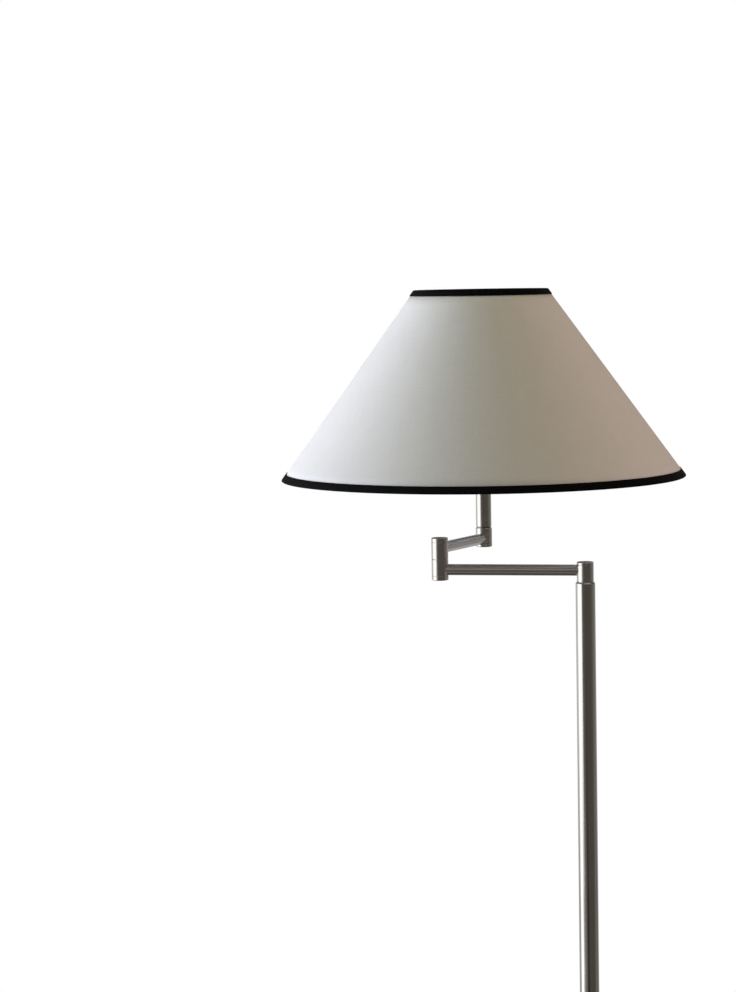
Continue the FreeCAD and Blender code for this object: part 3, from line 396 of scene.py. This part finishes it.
# ---------------------------------------------------------------- shade
# Off-white cotton laminated on white film, cut as one flat sector and rolled into a cone. Its ends lap in one
# glued seam down the back. It stays stiff, and the rings of the carrier hold it round.
def place_piece(shape, name, material, body, slot, *nodes):
    """Makes a finished bmesh a piece of the lamp that rides on body and stands for CAD nodes."""
    mesh = bpy.data.meshes.new(name)
    shape.to_mesh(mesh)
    shape.free()
    mesh.shade_smooth()
    mesh.materials.append(material)
    made = link(mesh, name)
    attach(made, body)
    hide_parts(*nodes)
    return made


rim_low, rim_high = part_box("bottom_trim")
crown_low, crown_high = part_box("top_trim")
shade_axis = (rim_low + rim_high) / 2
rim_radius = (rim_high.x - rim_low.x) / 2
slope = (rim_radius - (crown_high.x - crown_low.x) / 2) / (crown_low.z - rim_low.z)
secant, shade_height = math.hypot(1, slope), crown_high.z - rim_low.z
seam_heading, seam_lap = math.radians(96), 0.012
climb_start, climb_run = 0.02, 0.015


def on_cone(heading, depth, height):
    """A point depth inside the face of the bound shade, at a height over its rim."""
    radius = rim_radius - depth * secant - height * slope
    return (
        shade_axis.x + radius * math.cos(heading),
        shade_axis.y + radius * math.sin(heading),
        rim_low.z + height,
    )


def over_seam(turn):
    """How far a strip has climbed over its own start, from 0 to 1, after a turn round the shade."""
    return min(1.0, max(0.0, (turn - math.tau + climb_start) / climb_run))


def rolled(width_steps, height_steps, depth, climb):
    """The flat sector rolled into the cone, with its flat cut as UV map. It rises by climb over its lap."""
    shape = bmesh.new()
    cut = shape.loops.layers.uv.new("flat cut")
    bmesh.ops.create_grid(shape, x_segments=width_steps, y_segments=height_steps, size=1.0)
    for face in shape.faces:
        for loop in face.loops:
            bend = (loop.vert.co.x + 1) / 2 * full_turn * slope / secant
            reach = flat_rim - (loop.vert.co.y + 1) / 2 * slant
            loop[cut].uv = (reach * math.sin(bend), reach * math.cos(bend))
    for vert in shape.verts:
        turn = (vert.co.x + 1) / 2 * full_turn
        height = cover_inset + (vert.co.y + 1) / 2 * (shade_height - 2 * cover_inset)
        vert.co = on_cone(seam_heading + turn, depth - climb * over_seam(turn), height)
    bmesh.ops.recalc_face_normals(shape, faces=shape.faces)
    return shape


def woven(name, dark, light, pitch, relief, inputs, angle=0.0):
    """Plain cloth whose threads follow the flat cut at an angle, with slubs along both threads."""
    material, shader, place = finish(name, inputs)
    flat = shader.node("UVMap", {"uv_map": "flat cut"}, {})
    flat = shader.node("VectorRotate", {"rotation_type": "Z_AXIS"}, {"Vector": flat, "Angle": angle})
    across, along = (shader.node("SeparateXYZ", {}, {0: flat}, axis) for axis in "XY")
    thread_rate = math.tau / pitch
    threads = [line.math("SINE", line * thread_rate) for line in (across, along)]
    slubs = [
        shader.node("TexNoise", {"noise_dimensions": "2D"}, {
            "Vector": shader.node("VectorMath", {"operation": "MULTIPLY"}, {0: flat, 1: stretch}, "Vector"),
            "Scale": 1.0, "Detail": 3.0,
        }) for stretch in ((1400.0, 35.0, 0.0), (35.0, 1400.0, 0.0))
    ]
    uneven = (slubs[0] + slubs[1]) * 0.5
    shader.feed({
        "Base Color": uneven.ramp(0.35, 0.65).mix(dark, light),
        "Normal": shader.node("Bump", {}, {"Strength": 1.0, "Distance": relief,
                                           "Height": threads[0] * threads[1] * 0.35 + uneven}),
    })
    return material


def thicken(piece, thickness, side):
    """Gives the piece a wall: side is -1 inward from its surface, and 0 to both sides."""
    wall = piece.modifiers.new("thickness", "SOLIDIFY")
    wall.thickness, wall.offset = thickness, side


cover_inset, cloth_depth, cloth_thick, film_thick = 0.00085, 0.00085, 0.0004, 0.00036
glue_line, cloth_steps, film_steps = 0.00002, (360, 14), (300, 8)
full_turn = math.tau + seam_lap / rim_radius
slant = (shade_height - 2 * cover_inset) * secant
flat_rim = (rim_radius - cloth_depth * secant - cover_inset * slope) * secant / slope
cloth = woven("off-white cotton", (0.795, 0.775, 0.735), (0.835, 0.815, 0.775), 0.00045, 0.00006,
              {"Roughness": 0.9, "Specular IOR Level": 0.15, "Sheen Weight": 0.05})
sector = rolled(*cloth_steps, cloth_depth, cloth_thick)
cover = place_piece(sector, "shade_cloth", cloth, "head", "shade_fabric", "shade_cover")
thicken(cover, cloth_thick, -1)
flat_width = 2 * flat_rim
flat_length = flat_rim * (1 + math.cos(math.pi - math.pi * slope / secant))

film = plated("white film", (0.80, 0.80, 0.78), (0.84, 0.84, 0.82), 12.0, 0.5, 0.00002,
              Specular_IOR_Level=0.4)
sector = rolled(*film_steps, cloth_depth + cloth_thick + glue_line, 0.0)
lining = place_piece(sector, "shade_film", film, "head", "shade_fabric", "shade_cover")
thicken(lining, film_thick, -1)


# ---------------------------------------------------------------- trims
# Both edges are bound in black cotton tape, cut on the bias, folded over the edge and its wire and glued.
# Each tape starts and ends in a short lap at the seam, where it also climbs over the lap of the cloth.
def bound(name, fold, edge, shade_edge):
    """Tape along fold, a path of (depth inside its face, height over the shade's edge) in millimetres."""
    path = [(depth / 1000, shade_edge + height / 1000) for depth, height in fold]
    width = [0.0]
    for (depth, height), (last_depth, last_height) in zip(path[1:], path):
        width.append(width[-1] + math.hypot((height - last_height) * secant, depth - last_depth))
    length = (rim_radius - shade_edge * slope) * full_turn
    last = len(path) - 1
    shape = bmesh.new()
    cut = shape.loops.layers.uv.new("flat cut")
    bmesh.ops.create_grid(shape, x_segments=tape_steps, y_segments=last, size=1.0)
    for face in shape.faces:
        for loop in face.loops:
            step = round((loop.vert.co.y + 1) / 2 * last)
            loop[cut].uv = ((loop.vert.co.x + 1) / 2 * length, width[step])
    for vert in shape.verts:
        turn = (vert.co.x + 1) / 2 * full_turn
        depth, height = path[round((vert.co.y + 1) / 2 * last)]
        on_cloth_lap = min(1.0, max(0.0, 1.6 - turn / lap_fade))
        lift = lap_rise * on_cloth_lap + tape_thick * over_seam(turn)
        vert.co = on_cone(tape_start + turn, depth - lift, height)
    bmesh.ops.recalc_face_normals(shape, faces=shape.faces)
    tape = place_piece(shape, name, bias_tape, "head", "black_tape", edge)
    thicken(tape, tape_thick, 0)


tape_thick, tape_steps, lap_rise, lap_fade = 0.0006, 360, 0.0004, 0.04
tape_start = seam_heading - 0.5 * seam_lap / rim_radius
bias_tape = woven("black bias tape", (0.0012, 0.0012, 0.0014), (0.004, 0.004, 0.0042), 0.0005, 0.00008,
                  {"Roughness": 0.75, "Specular IOR Level": 0.1}, math.radians(45))
bottom_fold = (
    (0.35, 8.0), (0.35, 5.5), (0.35, 3.0), (0.35, 1.3), (0.55, 0.7), (1.2, 0.38), (2.8, 0.33), (4.45, 0.35),
    (5.24, 0.82), (5.17, 1.83), (4.42, 3.03), (3.1, 4.08), (2.2, 4.9), (2.0, 5.8), (2.0, 7.2),
)
top_fold = (
    (0.35, -6.3), (0.35, -4.5), (0.35, -2.6), (0.35, -1.15), (0.5, -0.6), (1.0, -0.34), (2.13, -0.35),
    (3.0, -0.55), (3.62, -0.94), (4.3, -1.5), (4.56, -1.95),
)
bound("bottom_tape", bottom_fold, "bottom_trim", 0.0)
bound("top_tape", top_fold, "top_trim", shade_height)
